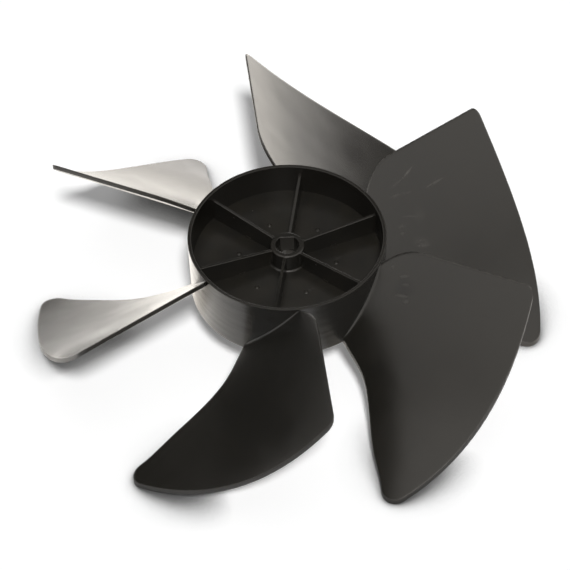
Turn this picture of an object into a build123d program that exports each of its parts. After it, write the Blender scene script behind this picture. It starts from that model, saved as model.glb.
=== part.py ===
from build123d import *
import math
import os

# Condenser fan, moulded in one piece. Millimetres.
# The shaft axis is the Z axis and the cup opens upward.
# Heights are worked out from the cup's rim, and the finished fan's origin is at the bore's lower mouth.

# hub cup
hub_radius = 33.0
hub_draft = 0.4
hub_height = 22.8
hub_wall = 1.2
rim_edge = 0.3
web_depth = 11.4
web_thickness = 2.0

# boss and bore
boss_radius = 5.7
boss_depth = 4.6
boss_foot_inset = 1.8
boss_edge = 0.3
boss_root = 0.9
bore_radius = 4.0
bore_flat = 3.3
bore_flat_length = 6.0
pilot_clearance = 0.25
bore_overrun = 1.0

# ribs that rise from the boss's edge to the cup wall
rib_count = 6
rib_angle = 80.9
rib_thickness = 1.0
rib_depth = 2.95

# pips on the web, one between each two ribs
pip_radius = 0.75
pip_height = 0.55
pip_taper = 50.0
pip_circle = 16.4

# blades: angles in plan are measured back from the high edge's radial line
blade_count = 6
blade_angle = 98.9
high_tip_radius = 84.9
low_tip_radius = 86.0
blade_thickness = 2.1
high_edge_height = 5.55
high_edge_offset = 2.72
pitch_at_hub = 48.9
pitch_at_tip = 34.0
camber_at_hub = 0.055
camber_at_tip = 0.129
camber_forward = 0.32
span_at_hub = 40.0
span_at_tip = 49.5
shoulder_start = -1.95
shoulder_reach = 6.9
shoulder_round = 21.0
high_corner = 2.5
low_corner = 5.0
root_fillet = 0.9
root_sink = 0.04
skin_margin = 4.0

# the low edge seen from above: share of the way out to the tip, degrees back from the high edge
low_edge = [(0.0, 36.3), (0.1, 36.5), (0.22, 37.2), (0.38, 40.6), (0.64, 45.7), (0.83, 47.4), (1.0, 50.1)]

# heights and radii that follow from the ones above
web_top = -web_depth
web_foot = web_top - web_thickness
boss_top = -boss_depth
boss_foot = boss_foot_inset - hub_height
flat_end = boss_top - bore_flat_length
buried = hub_radius - hub_wall * 0.6
taper = hub_draft / hub_height


def between(first, last, share):
    return first + (last - first) * share


def along(radius):
    """Share of the way from the hub to the tip."""
    return (radius - hub_radius) / (high_tip_radius - hub_radius)


def high_line(radius):
    """How far the high edge stands off its radial line."""
    return high_edge_offset * (1 - along(radius))


def surface_height(radius, back):
    """Height of the blade's upper face at a radius and an angle back from the radial line."""
    share = along(radius)
    arc = radius * (math.radians(back) + math.asin(high_line(radius) / radius))
    part = arc / (radius * math.radians(between(span_at_hub, span_at_tip, share)))
    fall = math.tan(math.radians(between(pitch_at_hub, pitch_at_tip, share))) * arc
    bow = between(camber_at_hub, camber_at_tip, share) * (1 + camber_forward * (1 - 2 * part))
    return high_edge_height - fall - bow * 4 * arc * (1 - part)


def plan_point(radius, back):
    """A point in the plan view, where the blade's radial line is the X axis."""
    angle = -math.radians(back)
    return (radius * math.cos(angle), radius * math.sin(angle))


def make_skin():
    """The blade's upper face, a little larger than the blade all round."""
    rows = []
    lead = math.degrees(math.asin(high_edge_offset / buried)) + skin_margin
    trail = low_edge[-1][1] + skin_margin
    for i in range(8):
        radius = between(buried - hub_wall, low_tip_radius + blade_thickness, i / 7)
        row = []
        for j in range(13):
            back = between(-lead, trail, j / 12)
            row.append((*plan_point(radius, back), surface_height(radius, back)))
        rows.append(row)
    return Face.make_surface_from_array_of_points(rows, tol=0.00005)


def make_plan():
    """The blade seen from above, as a tall prism with rounded corners."""
    shoulder = (hub_radius + shoulder_reach, high_line(hub_radius + shoulder_reach))
    slope = (shoulder[1] - shoulder_start) / shoulder_reach
    start = (buried, shoulder_start - slope * (hub_radius - buried))
    tip = (high_tip_radius, 0.0)
    low = [plan_point(between(hub_radius, low_tip_radius, share), back) for share, back in low_edge]
    low_start = plan_point(buried, low_edge[0][1])
    tip_middle = plan_point((high_tip_radius + low_tip_radius) / 2, low_edge[-1][1] / 2)
    root_middle = plan_point(buried, low_edge[0][1] / 2)
    outline = [
        Polyline(start, shoulder, tip),
        ThreePointArc(tip, tip_middle, low[-1]),
        Spline(*reversed(low)),
        Line(low[0], low_start),
        ThreePointArc(low_start, root_middle, start),
    ]
    prism = extrude(make_face(outline), low_tip_radius, both=True)
    for corner, size in ((shoulder, shoulder_round), (tip, high_corner), (low[-1], low_corner)):
        upright = prism.edges().filter_by(Axis.Z).sort_by_distance((*corner, 0))[0]
        prism = fillet(upright, size)
    return prism


def make_blade():
    slab = Solid.extrude(make_skin(), Vector(0, 0, -blade_thickness))
    return Rot(0, 0, blade_angle) * (slab & make_plan())


def make_root(side):
    """The rounded corner where a blade meets the cup, on its upper face (side 1) or lower face (-1)."""
    drop = blade_thickness * (1 - side) / 2
    first = -math.degrees(math.atan2(shoulder_start, hub_radius))
    sections = []
    for share in (0.02, 0.2, 0.5, 0.8, 0.98):
        back = between(first, low_edge[0][1], share)
        size = root_fillet * (1 if 0.1 < share < 0.9 else 0.3)
        z = surface_height(hub_radius, back) - drop
        wall = hub_radius + taper * z
        z_out = surface_height(wall + size, back) - drop
        turn = -math.radians(back)
        outward = (math.cos(turn), math.sin(turn), 0)
        across = (math.sin(turn), -math.cos(turn), 0)
        on_wall = (wall + taper * side * size - root_sink, z + side * size)
        on_blade = (wall + size, z_out - side * root_sink)
        middle = (wall + size / 2, (on_wall[1] + on_blade[1]) / 2)
        hollow = (between(middle[0], wall, 0.41), between(middle[1], z, 0.41))
        inside = (wall - hub_wall * 0.4, z - side * blade_thickness * 0.3)
        edges = [ThreePointArc(on_wall, hollow, on_blade), Line(on_blade, inside), Line(inside, on_wall)]
        sections.append(Plane((0, 0, 0), x_dir=outward, z_dir=across) * make_face(edges))
    return Rot(0, 0, blade_angle) * loft(sections)


def make_hub():
    """The cup, its web and the boss as one turned shape, before the bore."""

    def inside(z):
        return hub_radius + taper * z - hub_wall

    corners = [
        (0, boss_foot),
        (boss_radius, boss_foot),
        (boss_radius, web_foot),
        (inside(web_foot), web_foot),
        (inside(-hub_height), -hub_height),
        (hub_radius - hub_draft, -hub_height),
        (hub_radius, 0),
        (inside(0), 0),
        (inside(web_top), web_top),
        (boss_radius, web_top),
        (boss_radius, boss_top),
        (0, boss_top),
    ]
    section = make_face(Polyline(*corners, close=True))
    for corner, size in ((corners[6], rim_edge), (corners[7], rim_edge), (corners[10], boss_edge)):
        section = chamfer(section.vertices().sort_by_distance((*corner, 0))[0], size)
    section = fillet(section.vertices().sort_by_distance((*corners[9], 0))[0], boss_root)
    return revolve(Plane.XZ * section, Axis.Z)


def make_bore():
    """D-shaped through the top of the boss, round and a little wider below it."""
    beyond_flat = Pos(0, bore_flat + bore_radius) * Rectangle(4 * bore_radius, 2 * bore_radius)
    keyed = extrude(Pos(0, 0, flat_end) * (Circle(bore_radius) - beyond_flat), bore_flat_length + bore_overrun)
    round_end = Pos(0, 0, boss_foot - bore_overrun) * Circle(bore_radius + pilot_clearance)
    pilot = extrude(round_end, flat_end - boss_foot + bore_overrun)
    return keyed + pilot


def make_rib():
    inner = boss_radius - boss_edge
    foot = web_top - web_thickness / 2
    corners = [
        (inner, foot),
        (inner, boss_top - boss_edge),
        (boss_radius, boss_top - boss_edge),
        (buried, -rib_depth),
        (buried, foot),
    ]
    side = make_face(Polyline(*corners, close=True))
    rib = extrude(Plane.XZ * side, rib_thickness / 2, both=True)
    return Rot(0, 0, rib_angle) * rib


def make_pip():
    """A small ten-sided stub that narrows almost to a point."""
    stub = extrude(RegularPolygon(pip_radius, 10), pip_height, taper=pip_taper)
    return Rot(0, 0, rib_angle + 180 / rib_count) * Pos(pip_circle, 0, web_top) * stub


def around(shape, count):
    return [Rot(0, 0, 360 / count * i) * shape for i in range(count)]


fan = make_hub().fuse(
    *around(make_rib(), rib_count),
    *around(make_pip(), rib_count),
    *around(make_blade(), blade_count),
    *around(make_root(1), blade_count),
    *around(make_root(-1), blade_count),
)
fan = Pos(0, 0, -boss_foot) * (fan - make_bore())

os.makedirs("parts", exist_ok=True)
export_step(fan, "parts/fan_rotor.step")
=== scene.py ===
# %% [markdown]
# # A condenser fan blade in black plastic
# The fan is one moulding: a hub cup with ribs and a boss, and six twisted blades around it.
# Its shape comes ready-made from the solid model, true to size and in metres.
# This lesson gives it a finish, lays it on a white table and lights it as in a small photo tent.

# %% Load the fan
import math

import bpy
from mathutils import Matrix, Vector


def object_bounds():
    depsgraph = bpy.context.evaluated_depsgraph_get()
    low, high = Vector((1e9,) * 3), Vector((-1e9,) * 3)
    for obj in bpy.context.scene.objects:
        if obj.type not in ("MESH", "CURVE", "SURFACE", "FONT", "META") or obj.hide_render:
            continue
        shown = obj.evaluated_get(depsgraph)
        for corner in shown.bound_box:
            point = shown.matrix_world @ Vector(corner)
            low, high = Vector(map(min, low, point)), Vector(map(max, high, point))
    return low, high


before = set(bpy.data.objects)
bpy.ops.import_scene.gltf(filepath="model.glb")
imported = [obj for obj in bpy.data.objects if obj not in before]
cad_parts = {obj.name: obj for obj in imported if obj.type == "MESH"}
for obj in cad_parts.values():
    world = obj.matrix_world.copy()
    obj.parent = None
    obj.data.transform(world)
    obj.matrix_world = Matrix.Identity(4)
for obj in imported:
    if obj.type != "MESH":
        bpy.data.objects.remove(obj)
solid_low, solid_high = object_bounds()
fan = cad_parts["fan_rotor"]
table_height = solid_low.z
MM = 0.001
print("fan spans", [round(v / MM, 1) for v in solid_high - solid_low], "mm")

# %% [markdown]
# ## The camera
# The fan lies on the tips of its blades and is seen from above at about 48 degrees.
# A short lens close by would make the near blades look larger than the far ones.
# A long lens from further off keeps them almost the same size, as in a catalogue picture.
# The turn order ZXY lets the last number roll the camera about its own line of sight.

# %% Set up the camera
view_angle = math.radians(47.9291)
view_roll = math.radians(-1.4704)
camera_data = bpy.data.cameras.new("camera")
camera_data.sensor_width = 36.0
camera_data.lens = 161.5
camera_data.clip_start = 0.05
camera = bpy.data.objects.new("camera", camera_data)
bpy.context.scene.collection.objects.link(camera)
camera.location = (-0.0011, -0.57883, 0.63762)
camera.rotation_mode = "ZXY"
camera.rotation_euler = (math.radians(90) - view_angle, 0.0, view_roll)
bpy.context.scene.camera = camera
print("camera at", tuple(round(v, 3) for v in camera.location))

# %% [markdown]
# ## The table
# The fan lies on white paper, with no horizon in sight.
# A sheet that bends up at the back could be modelled, as in a photo studio. From this height
# the camera sees only its flat part, so one wide disc under the blades' lowest points is enough.

# %% Lay the table
table_radius = 0.9
bpy.ops.object.select_all(action="DESELECT")
bpy.ops.mesh.primitive_circle_add(
    vertices=96, radius=table_radius, fill_type="NGON", location=(0, 0, table_height)
)
table = bpy.context.object
table.name = "table"
print("table at", round(table_height / MM, 1), "mm")

# %% [markdown]
# ## Short-hands for sums
# A material is a small circuit of nodes. It could be wired by hand in the node editor.
# In a script each node takes several lines to make, set and link, and the idea gets lost among them.
# These helpers each make one kind of node and hand back its output, so a circuit reads like a sum.
# A value given to them is either a number to type in or another node's output to link.

# %% Define the sums
def feed(tree, socket, value):
    """Link an output to a socket, or type the value in."""
    if isinstance(value, bpy.types.NodeSocket):
        tree.links.new(value, socket)
    else:
        socket.default_value = value


def step(tree, operation, first, *others):
    """One sum on numbers, carried on along as many as are given."""
    result = first
    for other in others or [None]:
        node = tree.nodes.new("ShaderNodeMath")
        node.operation = operation
        feed(tree, node.inputs[0], result)
        if other is not None:
            feed(tree, node.inputs[1], other)
        result = node.outputs[0]
    return result


def vector_step(tree, operation, first, second=None):
    """One sum on points or directions."""
    node = tree.nodes.new("ShaderNodeVectorMath")
    node.operation = operation
    feed(tree, node.inputs[0], first)
    if second is not None:
        feed(tree, node.inputs["Scale"] if operation == "SCALE" else node.inputs[1], second)
    return node.outputs["Value" if operation in ("LENGTH", "DISTANCE", "DOT_PRODUCT") else "Vector"]


def parts_of(tree, vector):
    """The X, Y and Z of a point or direction."""
    node = tree.nodes.new("ShaderNodeSeparateXYZ")
    feed(tree, node.inputs[0], vector)
    return node.outputs


print("sums on numbers and on points ready")

# %% [markdown]
# ## Short-hands for soft steps and mixtures
# Light and wear fade in and out, and one finish runs into the next.
# A colour ramp could do that, but its stops can't be linked to other nodes.
# Map Range takes each limit as a number or a link, and its smooth form shows no start or end.

# %% Define the soft steps
def ease(tree, value, start, end, first=0.0, last=1.0):
    """A soft step from first to last while the value goes from start to end."""
    node = tree.nodes.new("ShaderNodeMapRange")
    node.interpolation_type = "SMOOTHSTEP"
    names = ("Value", "From Min", "From Max", "To Min", "To Max")
    for name, given in zip(names, (value, start, end, first, last)):
        feed(tree, node.inputs[name], given)
    return node.outputs["Result"]


def blend(tree, share, first, second, kind="MIX"):
    """Two colours mixed, multiplied or added."""
    node = tree.nodes.new("ShaderNodeMix")
    node.data_type = "RGBA"
    node.blend_type = kind
    for name, given in zip(("Factor", "A", "B"), (share, first, second)):
        feed(tree, node.inputs[name], given)
    return node.outputs["Result"]


def either(tree, share, first, second):
    """The first shader where the share is nought, the second where it is one."""
    node = tree.nodes.new("ShaderNodeMixShader")
    for socket, given in zip(node.inputs, (share, first, second)):
        feed(tree, socket, given)
    return node.outputs[0]


print("soft steps and mixtures ready")

# %% [markdown]
# ## The light that the plastic mirrors
# Glossy black plastic shows little colour of its own. What one sees on it is mostly the table, mirrored.
# In a photo tent a lamp behind the product throws a pool of light on the paper, which fades to the front
# and to the left. Two small pools lie to the left, one beside the hub and one beyond the blades' tips.
# Real lamps could make these pools, but they would light the fan and bleach the picture as well.
# So the paper glows for mirror rays alone, and the camera sees plain white.

# %% Pool the mirrored light
paper = bpy.data.materials.new("white_paper")
paper.use_nodes = True
paper.cycles.emission_sampling = "NONE"
paper_tree = paper.node_tree
paper_tree.nodes.clear()
paper_place = paper_tree.nodes.new("ShaderNodeTexCoord").outputs["Object"]


def light_pool(middle, core, rim, level, beyond=0.0):
    """A round glow that fades from level to beyond between two distances from its middle."""
    reach = vector_step(paper_tree, "DISTANCE", paper_place, middle)
    return ease(paper_tree, reach, core, rim, level, beyond)


back_pool = light_pool(middle=(0.06, 0.2, 0.0), core=0.05, rim=0.25, level=2.65, beyond=0.78)
hub_pool = light_pool(middle=(-0.045, 0.01, 0.0), core=0.0, rim=0.042, level=0.62)
tip_pool = light_pool(middle=(-0.1, -0.005, 0.0), core=0.01, rim=0.04, level=0.7)
paper_parts = parts_of(paper_tree, paper_place)
left_shade = ease(paper_tree, paper_parts["X"], -0.16, -0.06, 0.72, 1.0)
front_shade = ease(paper_tree, paper_parts["Y"], -0.075, -0.015)
wide_pools = step(paper_tree, "ADD", back_pool, hub_pool)
shaded_pools = step(paper_tree, "MULTIPLY", wide_pools, left_shade, front_shade)
pools = step(paper_tree, "ADD", shaded_pools, tip_pool)
print("three pools of light for the mirror rays")

# %% [markdown]
# ## Painted shadow on the paper under the fan
# Where the blades come close to the paper, little light gets in and a dark line hugs their outline.
# The lamps' shadows fall away to the back and leave that line out, and a sharper lamp wouldn't add it.
# The Ambient Occlusion node measures how much is covered close above a spot, and a shadow is painted into
# the paper's colour there.

# %% Paint a shadow on the paper near the fan
paper_white = (0.88, 0.88, 0.88, 1)
painted_shadow_black = (0, 0, 0, 1)
cover = paper_tree.nodes.new("ShaderNodeAmbientOcclusion")
cover.samples = 6
cover.inputs["Distance"].default_value = 14 * MM
painted_shadow_factor = ease(paper_tree, cover.outputs["AO"], 0.5, 1.0, 0.1, 1.0)
lit_paper = paper_tree.nodes.new("ShaderNodeBsdfDiffuse")
feed(paper_tree, lit_paper.inputs["Color"], blend(paper_tree, painted_shadow_factor, painted_shadow_black, paper_white))
print("paper darkens within", round(cover.inputs["Distance"].default_value / MM), "mm of the fan")

# %% [markdown]
# ## What each ray sees of the paper
# The paper is three layers of light added up: white under the lamps, a faint glow that lifts it
# to a clean white in the picture, and the pools. The Light Path node tells which kind of ray is asking.
# A brighter lamp could lift the white too, but it would grey the black plastic.
# From below the paper is clear, so the fan can be looked at from that side as well.

# %% Add up the paper's layers
picture_lift = 0.2
white_light = (1, 1, 1, 1)
warm_light = (1.0, 0.93, 0.83, 1)
rays = paper_tree.nodes.new("ShaderNodeLightPath").outputs
in_picture = step(paper_tree, "MAXIMUM", rays["Is Camera Ray"], rays["Is Transmission Ray"])


def glow(colour, strength):
    """A layer that gives off light."""
    node = paper_tree.nodes.new("ShaderNodeEmission")
    node.inputs["Color"].default_value = colour
    feed(paper_tree, node.inputs["Strength"], strength)
    return node.outputs[0]


def added(first, second):
    """Two layers of light in one."""
    node = paper_tree.nodes.new("ShaderNodeAddShader")
    feed(paper_tree, node.inputs[0], first)
    feed(paper_tree, node.inputs[1], second)
    return node.outputs[0]


# The picture's glow is dimmed by the same painted shadow.
picture_glow = glow(white_light, step(paper_tree, "MULTIPLY", in_picture, painted_shadow_factor, picture_lift))
mirror_glow = glow(warm_light, step(paper_tree, "MULTIPLY", pools, rays["Is Glossy Ray"]))
upper_side = added(added(lit_paper.outputs[0], picture_glow), mirror_glow)
under_side = paper_tree.nodes.new("ShaderNodeBsdfTransparent").outputs[0]
from_below = paper_tree.nodes.new("ShaderNodeNewGeometry").outputs["Backfacing"]
paper_out = paper_tree.nodes.new("ShaderNodeOutputMaterial")
feed(paper_tree, paper_out.inputs["Surface"], either(paper_tree, from_below, upper_side, under_side))
table.data.materials.append(paper)
print("paper has", len(paper_tree.nodes), "nodes")

# %% [markdown]
# ## The photo tent
# Cloth hangs in front of the fan, to its right and above it, and glows softly.
# Behind the fan the tent is open and dim, down to a bright strip along the table.
# Glowing panels could stand around the fan, but each panel's edges would show up in the plastic.
# A world that changes with direction has no edges. It is there for the mirror rays,
# and the lamps of a later step light the paper.

# %% Hang the tent's cloth
bpy.context.scene.view_settings.view_transform = "Standard"
tent = bpy.data.worlds.new("photo_tent")
bpy.context.scene.world = tent
tent.use_nodes = True
tent.cycles_visibility.diffuse = False
tent_tree = tent.node_tree
tent_tree.nodes.clear()
way = tent_tree.nodes.new("ShaderNodeTexCoord").outputs["Generated"]
way_up = parts_of(tent_tree, way)["Z"]


def cloth(stops):
    """Brightness by height: (sine of the angle above the table, level)."""
    ramp = tent_tree.nodes.new("ShaderNodeValToRGB")
    band = ramp.color_ramp
    band.interpolation = "EASE"
    while len(band.elements) < len(stops):
        band.elements.new(0.5)
    for stop, (spot, level) in zip(band.elements, stops):
        stop.position = spot
        stop.color = (level, level, level, 1)
    feed(tent_tree, ramp.inputs["Fac"], way_up)
    return ramp.outputs["Color"]


front_cloth = cloth([(0.0, 1.3), (0.35, 1.3), (0.57, 1.15), (0.77, 0.82), (0.9, 1.25), (1.0, 1.2)])
back_gap = cloth([(0.0, 1.9), (0.1, 1.2), (0.24, 0.3), (0.5, 0.07), (0.74, 0.07), (0.88, 1.25), (1.0, 1.2)])
gap_direction = (-0.35, 1.0, 0.0)
open_side = ease(tent_tree, vector_step(tent_tree, "DOT_PRODUCT", way, gap_direction), -0.25, 0.45)
cloth_level = blend(tent_tree, open_side, front_cloth, back_gap)
print("cloth in front and above, a gap behind")

# %% [markdown]
# ## Lamps as the plastic mirrors them
# Two small lamps shine through the cloth: one low behind the fan and one high in front of it.
# They give the near edges and the boss's foot their bright lines.
# Lamps of their own would light the paper too, so each is a soft spot of light
# in one direction of the same world. The camera itself sees that world as plain white.

# %% Add the mirrored lamps
def lamp_spot(direction, rim, core, level):
    """A round glow: cosines of the angles at which it starts and is full, and its brightness."""
    return ease(tent_tree, vector_step(tent_tree, "DOT_PRODUCT", way, direction), rim, core, 0.0, level)


def backdrop(colour):
    """A world that shines in a colour."""
    node = tent_tree.nodes.new("ShaderNodeBackground")
    feed(tent_tree, node.inputs["Color"], colour)
    return node.outputs[0]


cloth_tint = (1.0, 0.96, 0.91, 1)
back_spot = lamp_spot(direction=(0.172, 0.975, 0.139), rim=0.945, core=0.995, level=4.2)
front_spot = lamp_spot(direction=(0.041, -0.573, 0.8185), rim=0.965, core=0.9976, level=5.0)
lit_cloth = blend(tent_tree, 1.0, cloth_level, step(tent_tree, "ADD", back_spot, front_spot), "ADD")
mirrored_tent = backdrop(blend(tent_tree, 1.0, lit_cloth, cloth_tint, "MULTIPLY"))
pictured_tent = backdrop(white_light)
for_camera = tent_tree.nodes.new("ShaderNodeLightPath").outputs["Is Camera Ray"]
tent_out = tent_tree.nodes.new("ShaderNodeOutputWorld")
feed(tent_tree, tent_out.inputs["Surface"], either(tent_tree, for_camera, mirrored_tent, pictured_tent))
print("tent has", len(tent_tree.nodes), "nodes")

# %% [markdown]
# ## Lamps that light the paper
# The main lamp stands far off in front, a little higher than the camera and to its right.
# From the side it would throw long shadows. From there they fall away behind the blades,
# and only a narrow strip of each one shows. A wide, weak lamp straight above fills them.
# The tent already shows light to the mirror rays, so the lamps themselves stay out of reflections.

# %% Hang the lamps
def hang_lamp(name, kind, spot, power):
    """A lamp that looks at the middle of the fan and stays out of reflections."""
    lamp = bpy.data.objects.new(name, bpy.data.lights.new(name, kind))
    bpy.context.scene.collection.objects.link(lamp)
    lamp.data.energy = power
    lamp.location = spot
    lamp.rotation_euler = (-Vector(spot)).to_track_quat("-Z", "Y").to_euler()
    lamp.visible_glossy = False
    return lamp


front_lamp = hang_lamp("front_lamp", "SUN", spot=(0.07, -0.7, 1.0), power=3.2)
front_lamp.data.angle = math.radians(7)
top_lamp = hang_lamp("top_lamp", "AREA", spot=(0.0, 0.0, 0.9), power=1.3)
top_lamp.data.shape = "DISK"
top_lamp.data.size = 1.0
print("lamps:", front_lamp.name, top_lamp.name)

# %% [markdown]
# ## Soft clouds
# Moulded plastic is never quite even: its tint and its gloss drift in soft clouds.
# An image of clouds would have a seam somewhere. Noise in the fan's own space has none,
# and stretching its middle greys gives clouds with calm plastic between them.
# The effect is a node group, a circuit in a box, so it can be used again with other settings.

# %% Make the cloud
POINT, NUMBER = "NodeSocketVector", "NodeSocketFloat"


def new_group(name, inputs, outputs):
    """An empty node group with named sockets."""
    group = bpy.data.node_groups.new(name, "ShaderNodeTree")
    for label, kind in inputs:
        group.interface.new_socket(label, in_out="INPUT", socket_type=kind)
    for label, kind in outputs:
        group.interface.new_socket(label, in_out="OUTPUT", socket_type=kind)
    return group, group.nodes.new("NodeGroupInput").outputs, group.nodes.new("NodeGroupOutput").inputs


def noise(tree, place, scale, detail):
    """Smooth noise: how many swells to the metre, and how many finer layers on top."""
    node = tree.nodes.new("ShaderNodeTexNoise")
    feed(tree, node.inputs["Vector"], place)
    feed(tree, node.inputs["Scale"], scale)
    feed(tree, node.inputs["Detail"], detail)
    return node.outputs["Fac"]


cloud, given, made = new_group("soft_cloud", [("Place", POINT), ("Scale", NUMBER)], [("Mask", NUMBER)])
swell = noise(cloud, given["Place"], given["Scale"], detail=3.0)
feed(cloud, made["Mask"], ease(cloud, swell, 0.36, 0.64))
print("group:", cloud.name)

# %% [markdown]
# ## One rub
# Handling leaves short, pale rubs where something hard slid along the plastic.
# They could be painted on an image, which blurs close up. This group measures instead
# how far a spot is from a line, and fades across the line's width, so a rub is sharp at any size.
# Towards both ends the line gets thinner, as a rub does where it starts and stops.

# %% Make the rub
end_taper = 2.6
rub_inputs = [("Place", POINT), ("Start", POINT), ("Way", POINT), ("Reach", NUMBER), ("Width", NUMBER)]
rub, given, made = new_group("rub_mark", rub_inputs, [("Mask", NUMBER)])
offset = vector_step(rub, "SUBTRACT", given["Place"], given["Start"])
travel = vector_step(rub, "DOT_PRODUCT", offset, given["Way"])
held = step(rub, "MINIMUM", step(rub, "MAXIMUM", travel, 0.0), given["Reach"])
nearest = vector_step(rub, "SCALE", given["Way"], held)
aside = vector_step(rub, "DISTANCE", offset, nearest)
from_middle = step(rub, "SUBTRACT", step(rub, "DIVIDE", held, given["Reach"]), 0.5)
thinner = step(rub, "MULTIPLY", from_middle, from_middle, given["Width"], end_taper)
feed(rub, made["Mask"], ease(rub, step(rub, "ADD", aside, thinner), given["Width"], 0.0))
print("group:", rub.name)

# %% [markdown]
# ## Rubs and a painted highlight on the blades
# Clockwise from the top one, the second blade has thin scratches and faint scuffs.
# The third has a row of short rubs at its root, a painted highlight along its high edge's shoulder, and
# nicks further out.
# Marks strewn at random would be quicker, but these sit where the real fan shows them.
# Each is a line from one point to another in the fan's own frame, with a width and a strength.
# Points and widths are in millimetres.

# %% List the blades' rubs and painted highlight
second_blade_rubs = [
    ((39.7, 27.0, 18.9), (43.3, 31.1, 20.5), 0.75, 0.36),
    ((39.6, 26.9, 18.9), (39.8, 27.1, 18.9), 0.5, 0.6),
    ((34.8, 22.6, 18.0), (39.7, 27.0, 18.9), 0.7, 0.14),
    ((47.3, 26.9, 13.9), (53.7, 31.5, 13.9), 0.7, 0.3),
    ((35.1, 20.6, 16.0), (38.6, 22.7, 15.6), 0.7, 0.2),
    ((38.6, 22.7, 15.6), (43.1, 24.6, 14.5), 0.6, 0.12),
    ((38.4, 16.9, 10.5), (45.3, 19.1, 8.4), 0.7, 0.12),
    ((37.6, 14.1, 8.5), (40.4, 15.1, 7.8), 0.9, 0.14),
    ((38.2, 12.5, 6.8), (39.9, 13.2, 6.4), 0.9, 0.14),
    ((44.4, 12.2, 3.3), (47.1, 13.2, 2.7), 0.9, 0.17),
    ((43.6, 10.7, 2.5), (48.8, 12.2, 1.2), 0.9, 0.19),
    ((43.0, 18.4, 9.0), (47.5, 20.0, 8.2), 3.2, 0.08),
    ((42.5, 11.6, 4.0), (49.0, 12.6, 1.5), 2.8, 0.11),
]
third_root_rubs = [
    ((34.0, -14.8, 21.1), (34.6, -15.6, 20.5), 0.9, 0.18),
    ((36.2, -17.9, 18.7), (39.4, -18.5, 19.7), 0.75, 0.2),
    ((36.8, -19.8, 16.9), (39.7, -20.5, 17.6), 0.75, 0.17),
    ((34.8, -21.6, 14.0), (39.6, -23.2, 14.7), 0.75, 0.26),
    ((37.3, -23.8, 13.0), (39.2, -24.1, 13.7), 0.9, 0.2),
]
# The first three lines run along the shoulder and are a painted highlight; the rest are nicks and a short
# rub.
third_edge_highlight_and_nicks = [
    ((31.8, -13.1, 21.6), (34.4, -12.6, 23.9), 0.8, 0.35),
    ((34.2, -12.6, 23.7), (37.1, -12.5, 25.6), 0.8, 0.45),
    ((36.9, -12.5, 25.4), (40.8, -13.4, 26.5), 0.8, 0.5),
    ((43.8, -14.7, 26.5), (44.0, -14.8, 26.5), 0.7, 0.9),
    ((46.8, -16.0, 26.5), (49.8, -17.4, 26.5), 0.7, 0.4),
    ((53.5, -19.0, 26.5), (53.7, -19.1, 26.5), 0.7, 0.8),
]
blade_marks = second_blade_rubs + third_root_rubs + third_edge_highlight_and_nicks
print(len(blade_marks), "rubs on two blades")

# %% [markdown]
# ## Nicks in the cup
# Two ribs have a bright nick on their top edge, and the web is scuffed in three spots.
# A nick could be cut into the mesh, but at this size only its pale colour shows.
# So nicks are very short rubs, listed in the same way.

# %% List the cup's nicks
rib_nicks = [
    ((-17.7, 13.7, 15.6), (-17.7, 13.7, 15.4), 0.42, 1.0),
    ((9.3, -8.2, 15.1), (9.3, -8.2, 14.9), 0.42, 1.0),
]
web_scuffs = [
    ((-11.7, 22.3, 9.6), (-11.2, 22.5, 9.6), 0.7, 0.15),
    ((5.6, -15.4, 9.6), (8.6, -13.6, 9.6), 0.8, 0.07),
    ((15.8, -1.2, 9.6), (18.2, 0.4, 9.6), 0.7, 0.12),
]
cup_nicks = rib_nicks + web_scuffs
print(len(cup_nicks), "nicks in the cup")

# %% [markdown]
# ## The rubs on the plastic
# Every mark is one copy of the rub group, and the strongest shows where two cross.
# Adding them up could work too, but crossings would come out too bright.
# A fine noise breaks the marks up, because a real rub skips along the skin.
# One wide, soft mark is the dark smear under the row of rubs at the third blade's root.

# %% Place the rubs
plastic = bpy.data.materials.new("black_plastic")
plastic.use_nodes = True
skin_tree = plastic.node_tree
coordinates = skin_tree.nodes.new("ShaderNodeTexCoord").outputs
place = coordinates["Object"]


def mark(start, end, width):
    """The rub group from start to end, all in millimetres."""
    line = (Vector(end) - Vector(start)) * MM
    box = skin_tree.nodes.new("ShaderNodeGroup")
    box.node_tree = rub
    feed(skin_tree, box.inputs["Place"], place)
    box.inputs["Start"].default_value = Vector(start) * MM
    box.inputs["Way"].default_value = line.normalized()
    box.inputs["Reach"].default_value = line.length
    box.inputs["Width"].default_value = width * MM
    return box.outputs["Mask"]


marks = []
for start, end, width, strength in blade_marks + cup_nicks:
    marks.append(step(skin_tree, "MULTIPLY", mark(start, end, width), strength))
skips = noise(skin_tree, place, scale=900.0, detail=2.0)
broken = ease(skin_tree, skips, 0.3, 0.55, 0.35, 1.0)
# This mask holds the rubs and also the painted highlight on the third blade's shoulder.
rubs_and_highlight = step(skin_tree, "MULTIPLY", step(skin_tree, "MAXIMUM", *marks), broken)
smear = mark(start=(37.5, -17.8, 18.8), end=(38.4, -23.6, 13.6), width=5.5)
print(len(marks), "rubs placed and one dark smear")

# %% [markdown]
# ## Telling the parts apart
# Blades, ribs, rim and web differ a little in finish, but they are one moulding and one mesh.
# Each could have a material of its own, and then clouds and rubs would stop short at its border.
# Instead two measures tell the parts apart: how far a spot is from the shaft axis, and how high it lies.
# The limits are the fan's own sizes, a little to one side of them.

# %% Measure every spot
hub_radius = 33.0 * MM
cup_radius = 31.8 * MM
web_height = 9.6 * MM
height = parts_of(skin_tree, place)["Z"]
from_axis = vector_step(skin_tree, "LENGTH", vector_step(skin_tree, "MULTIPLY", place, (1, 1, 0)))


def above(value, limit):
    """One where the value is over the limit, nought elsewhere."""
    return step(skin_tree, "GREATER_THAN", value, limit)


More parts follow.
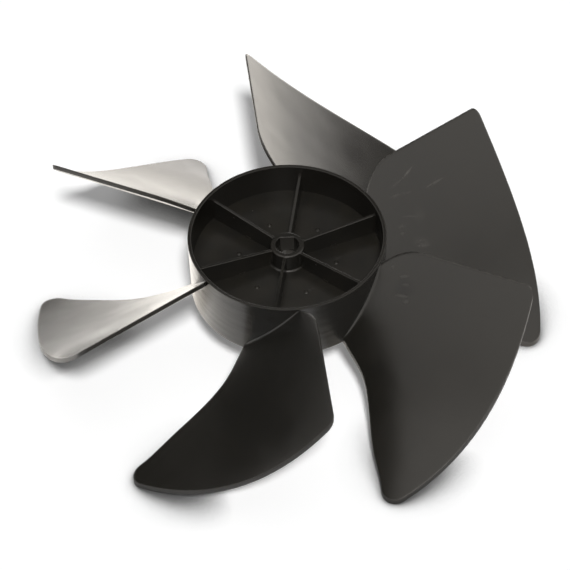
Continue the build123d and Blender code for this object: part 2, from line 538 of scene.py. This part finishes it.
def below(value, limit):
    """One where the value is under the limit, nought elsewhere."""
    return step(skin_tree, "LESS_THAN", value, limit)


def times(*values):
    """A product, which for masks is one only where all of them are."""
    return step(skin_tree, "MULTIPLY", *values)


on_blades = above(from_axis, hub_radius + 0.2 * MM)
on_ribs = times(below(from_axis, cup_radius - 0.9 * MM), above(height, web_height + 1.2 * MM))
on_foot = below(height, -0.8 * MM)
print("blades, ribs and foot told apart")

# %% [markdown]
# ## Rounded edges
# The mould leaves no sharp corner: the blades' edges and the ribs' tops are a little round.
# A bevel modifier would change the mesh, which has to stay as the solid model made it.
# The Bevel node bends only the light there. It stays off around the cup's wall,
# where an inside corner would get a false bright line.

# %% Round the edges
edge_round = 0.4 * MM
blade_edge_round = 0.9 * MM
flat_face = skin_tree.nodes.new("ShaderNodeNewGeometry").outputs["Normal"]
soft_edge = skin_tree.nodes.new("ShaderNodeBevel")
soft_edge.samples = 6
round_size = ease(skin_tree, on_blades, 0.0, 1.0, edge_round, blade_edge_round)
feed(skin_tree, soft_edge.inputs["Radius"], round_size)
edges = step(skin_tree, "MAXIMUM", on_blades, on_ribs, on_foot)
edge_choice = skin_tree.nodes.new("ShaderNodeMix")
edge_choice.data_type = "VECTOR"
feed(skin_tree, edge_choice.inputs["Factor"], edges)
feed(skin_tree, edge_choice.inputs["A"], flat_face)
feed(skin_tree, edge_choice.inputs["B"], soft_edge.outputs[0])
rounded = edge_choice.outputs["Result"]
print("edges rounded on blades, ribs and foot")

# %% [markdown]
# ## Worn edges, partly painted highlight
# Edges rub against other things first and go pale in patches, and the pale lines also stand in for the
# edges' highlights as painted highlight.
# They could be picked out by hand, edge by edge. The bent light already tells where they are:
# wherever it differs from the flat face, there is an edge. Noise makes the wear patchy.

# %% Wear the edges and paint their highlight
edge_strength = 0.45
bend = step(skin_tree, "SUBTRACT", 1.0, vector_step(skin_tree, "DOT_PRODUCT", rounded, flat_face))
patches = noise(skin_tree, place, scale=700.0, detail=2.0)
patchy = ease(skin_tree, patches, 0.35, 0.6, 0.2, 1.0)
worn_and_highlit_edges = times(ease(skin_tree, bend, 0.06, 0.3), patchy, edge_strength)
print("edges worn to", edge_strength, "at most")

# %% [markdown]
# ## Dull parts
# The narrow sides of the blades are where the two halves of the mould meet.
# They come out duller than the wide faces, which the mould has polished.
# They are found by their direction: on a blade, only the sides face straight outward.
# The rim's narrow edges and the pips on the web are dull too, and are found by their place.

# %% Find the dull parts
rim_height = 21.0 * MM
pip_circle = 16.4 * MM
facing = parts_of(skin_tree, coordinates["Normal"])
upright = ease(skin_tree, step(skin_tree, "ABSOLUTE", facing["Z"]), 0.1, 0.3, 1.0, 0.0)
blade_side = times(upright, above(from_axis, hub_radius + 1.5 * MM))
on_rim = times(above(height, rim_height - 0.4 * MM), below(from_axis, hub_radius + 0.1 * MM))
rim_edge = times(on_rim, below(facing["Z"], 0.95))
on_pip_circle = times(above(from_axis, pip_circle - MM), below(from_axis, pip_circle + MM))
on_pips = times(on_pip_circle, above(height, web_height + 0.05 * MM), below(height, web_height + 0.7 * MM))
dull_parts = step(skin_tree, "MAXIMUM", blade_side, rim_edge, on_pips)
print("blade sides, rim and pips found")

# %% [markdown]
# ## Where the tint changes
# The plastic is black with a touch of brown, which drifts in clouds and most of all inside the cup.
# Towards the tips it turns paler. The cup's inner wall is painted darker, as painted shade in the recess.
# The flat in the bore is painted paler, as painted light on its face.
# These could be painted on by hand. Worked out from each spot's place, they fit the fan from all sides.

# %% Find where the tint changes
bore_radius = 4.0 * MM
pale_tip_start = 45 * MM
pale_tip_end = 85 * MM


def cloud_mask(spread, scale):
    """The cloud group, with the fan's frame stretched first."""
    box = skin_tree.nodes.new("ShaderNodeGroup")
    box.node_tree = cloud
    feed(skin_tree, box.inputs["Place"], vector_step(skin_tree, "MULTIPLY", place, spread))
    box.inputs["Scale"].default_value = scale
    return box.outputs["Mask"]


cloudy = ease(skin_tree, from_axis, hub_radius - 2 * MM, hub_radius + MM, 1.0, 0.3)
mottle = times(cloud_mask(spread=(1, 1, 1), scale=110.0), cloudy)
# The blades turn paler towards the tips.
paler_tips = ease(skin_tree, from_axis, pale_tip_start, pale_tip_end, 0.0, 0.5)
# The cup's inner wall gets a darker colour: painted shade in the recess.
shade_wall_start = ease(skin_tree, from_axis, cup_radius - 1.4 * MM, cup_radius - MM)
painted_shade_wall = times(shade_wall_start, below(from_axis, cup_radius + 0.4 * MM), above(height, web_height + 0.2 * MM))
# The bore flat is painted paler: painted light on its face.
painted_light_bore_flat = times(below(from_axis, bore_radius + 0.2 * MM), below(facing["Y"], -0.9))
print("clouds, dust, inner wall and bore flat found")

# %% [markdown]
# ## Tint
# One even black would be simpler, but it would look like a drawing.
# So the shades are laid over each other like coats of paint, from the skin itself to the palest layer of
# wear and painted light.
# A colour of pure nought would look like a hole, so even the smear keeps a little.

# %% Mix the tint
black_skin = (0.0084, 0.0078, 0.0065, 1)
brown_skin = (0.0108, 0.0096, 0.0074, 1)
pale_tip_skin = (0.0155, 0.0142, 0.0118, 1)
smeared_skin = (0.001, 0.0009, 0.0008, 1)
wall_shade_skin = (0.0072, 0.0064, 0.0051, 1)
side_skin = (0.011, 0.0096, 0.0078, 1)
pale_wear_and_light_skin = (0.09, 0.084, 0.075, 1)
smear_strength = 0.65
bore_light_strength = 0.2
tint = blend(skin_tree, mottle, black_skin, brown_skin)
tint = blend(skin_tree, paler_tips, tint, pale_tip_skin)
tint = blend(skin_tree, times(smear, smear_strength), tint, smeared_skin)
# Painted shade on the cup's inner wall.
tint = blend(skin_tree, painted_shade_wall, tint, wall_shade_skin)
tint = blend(skin_tree, blade_side, tint, side_skin)
# The palest layer holds rubs, worn edges with their painted highlight, and the painted light on the bore
# flat.
worn = step(skin_tree, "MAXIMUM", rubs_and_highlight, worn_and_highlit_edges, times(painted_light_bore_flat, bore_light_strength))
shader = skin_tree.nodes["Principled BSDF"]
feed(skin_tree, shader.inputs["Base Color"], blend(skin_tree, worn, tint, pale_wear_and_light_skin))
print("tint mixed from seven shades")

# %% [markdown]
# ## Gloss
# The wide faces are satin: the paper shows in them, a little blurred.
# One roughness all over would do for a new part. On the real one the gloss drifts too,
# so a wide cloud shifts it a little, and rubs and dull parts are clearly rougher.

# %% Set the gloss
dull_extra = 0.25
gloss_drift = cloud_mask(spread=(1, 1, 0.6), scale=38.0)
skin_roughness = ease(skin_tree, gloss_drift, 0.0, 1.0, 0.2, 0.27)
dullness = times(step(skin_tree, "MAXIMUM", rubs_and_highlight, dull_parts), dull_extra)
feed(skin_tree, shader.inputs["Roughness"], step(skin_tree, "ADD", skin_roughness, dullness))
print("roughness drifts, and rises by", dull_extra, "where dull")

# %% [markdown]
# ## The moulded skin
# Plastic shrinks as it cools in the mould, so wide faces end up very slightly wavy.
# On the cup's outer wall the waves run round it in bands. A fine grain covers everything.
# All of it is about a tenth of a millimetre deep at most. Modelled as shape it would take
# millions of faces, so it is bump in the material.
# The rim's narrow edges shade as if they were part of its flat top.

# %% Wave and grain the skin
rim_lift = (0, 0, 8)
on_wall = times(above(from_axis, hub_radius - 0.7 * MM), below(from_axis, hub_radius + 0.2 * MM))
round_the_wall = vector_step(skin_tree, "MULTIPLY", place, (0.12, 0.12, 1.0))
band_depth = times(noise(skin_tree, round_the_wall, scale=330.0, detail=1.0), on_wall, 0.09 * MM)
wave_depth = times(noise(skin_tree, place, scale=60.0, detail=1.0), 0.14 * MM)
grain_depth = times(noise(skin_tree, place, scale=1800.0, detail=2.0), 0.0003 * MM)
rub_and_highlight_depth = times(rubs_and_highlight, -0.04 * MM)
depth = step(skin_tree, "ADD", band_depth, wave_depth, grain_depth, rub_and_highlight_depth)
relief = skin_tree.nodes.new("ShaderNodeBump")
relief.inputs["Distance"].default_value = 1.0
feed(skin_tree, relief.inputs["Height"], depth)
lifted = vector_step(skin_tree, "ADD", rounded, vector_step(skin_tree, "SCALE", rim_lift, rim_edge))
feed(skin_tree, relief.inputs["Normal"], vector_step(skin_tree, "NORMALIZE", lifted))
feed(skin_tree, shader.inputs["Normal"], relief.outputs["Normal"])
for slot in fan.material_slots:
    slot.material = plastic
print("plastic has", len(skin_tree.nodes), "nodes")
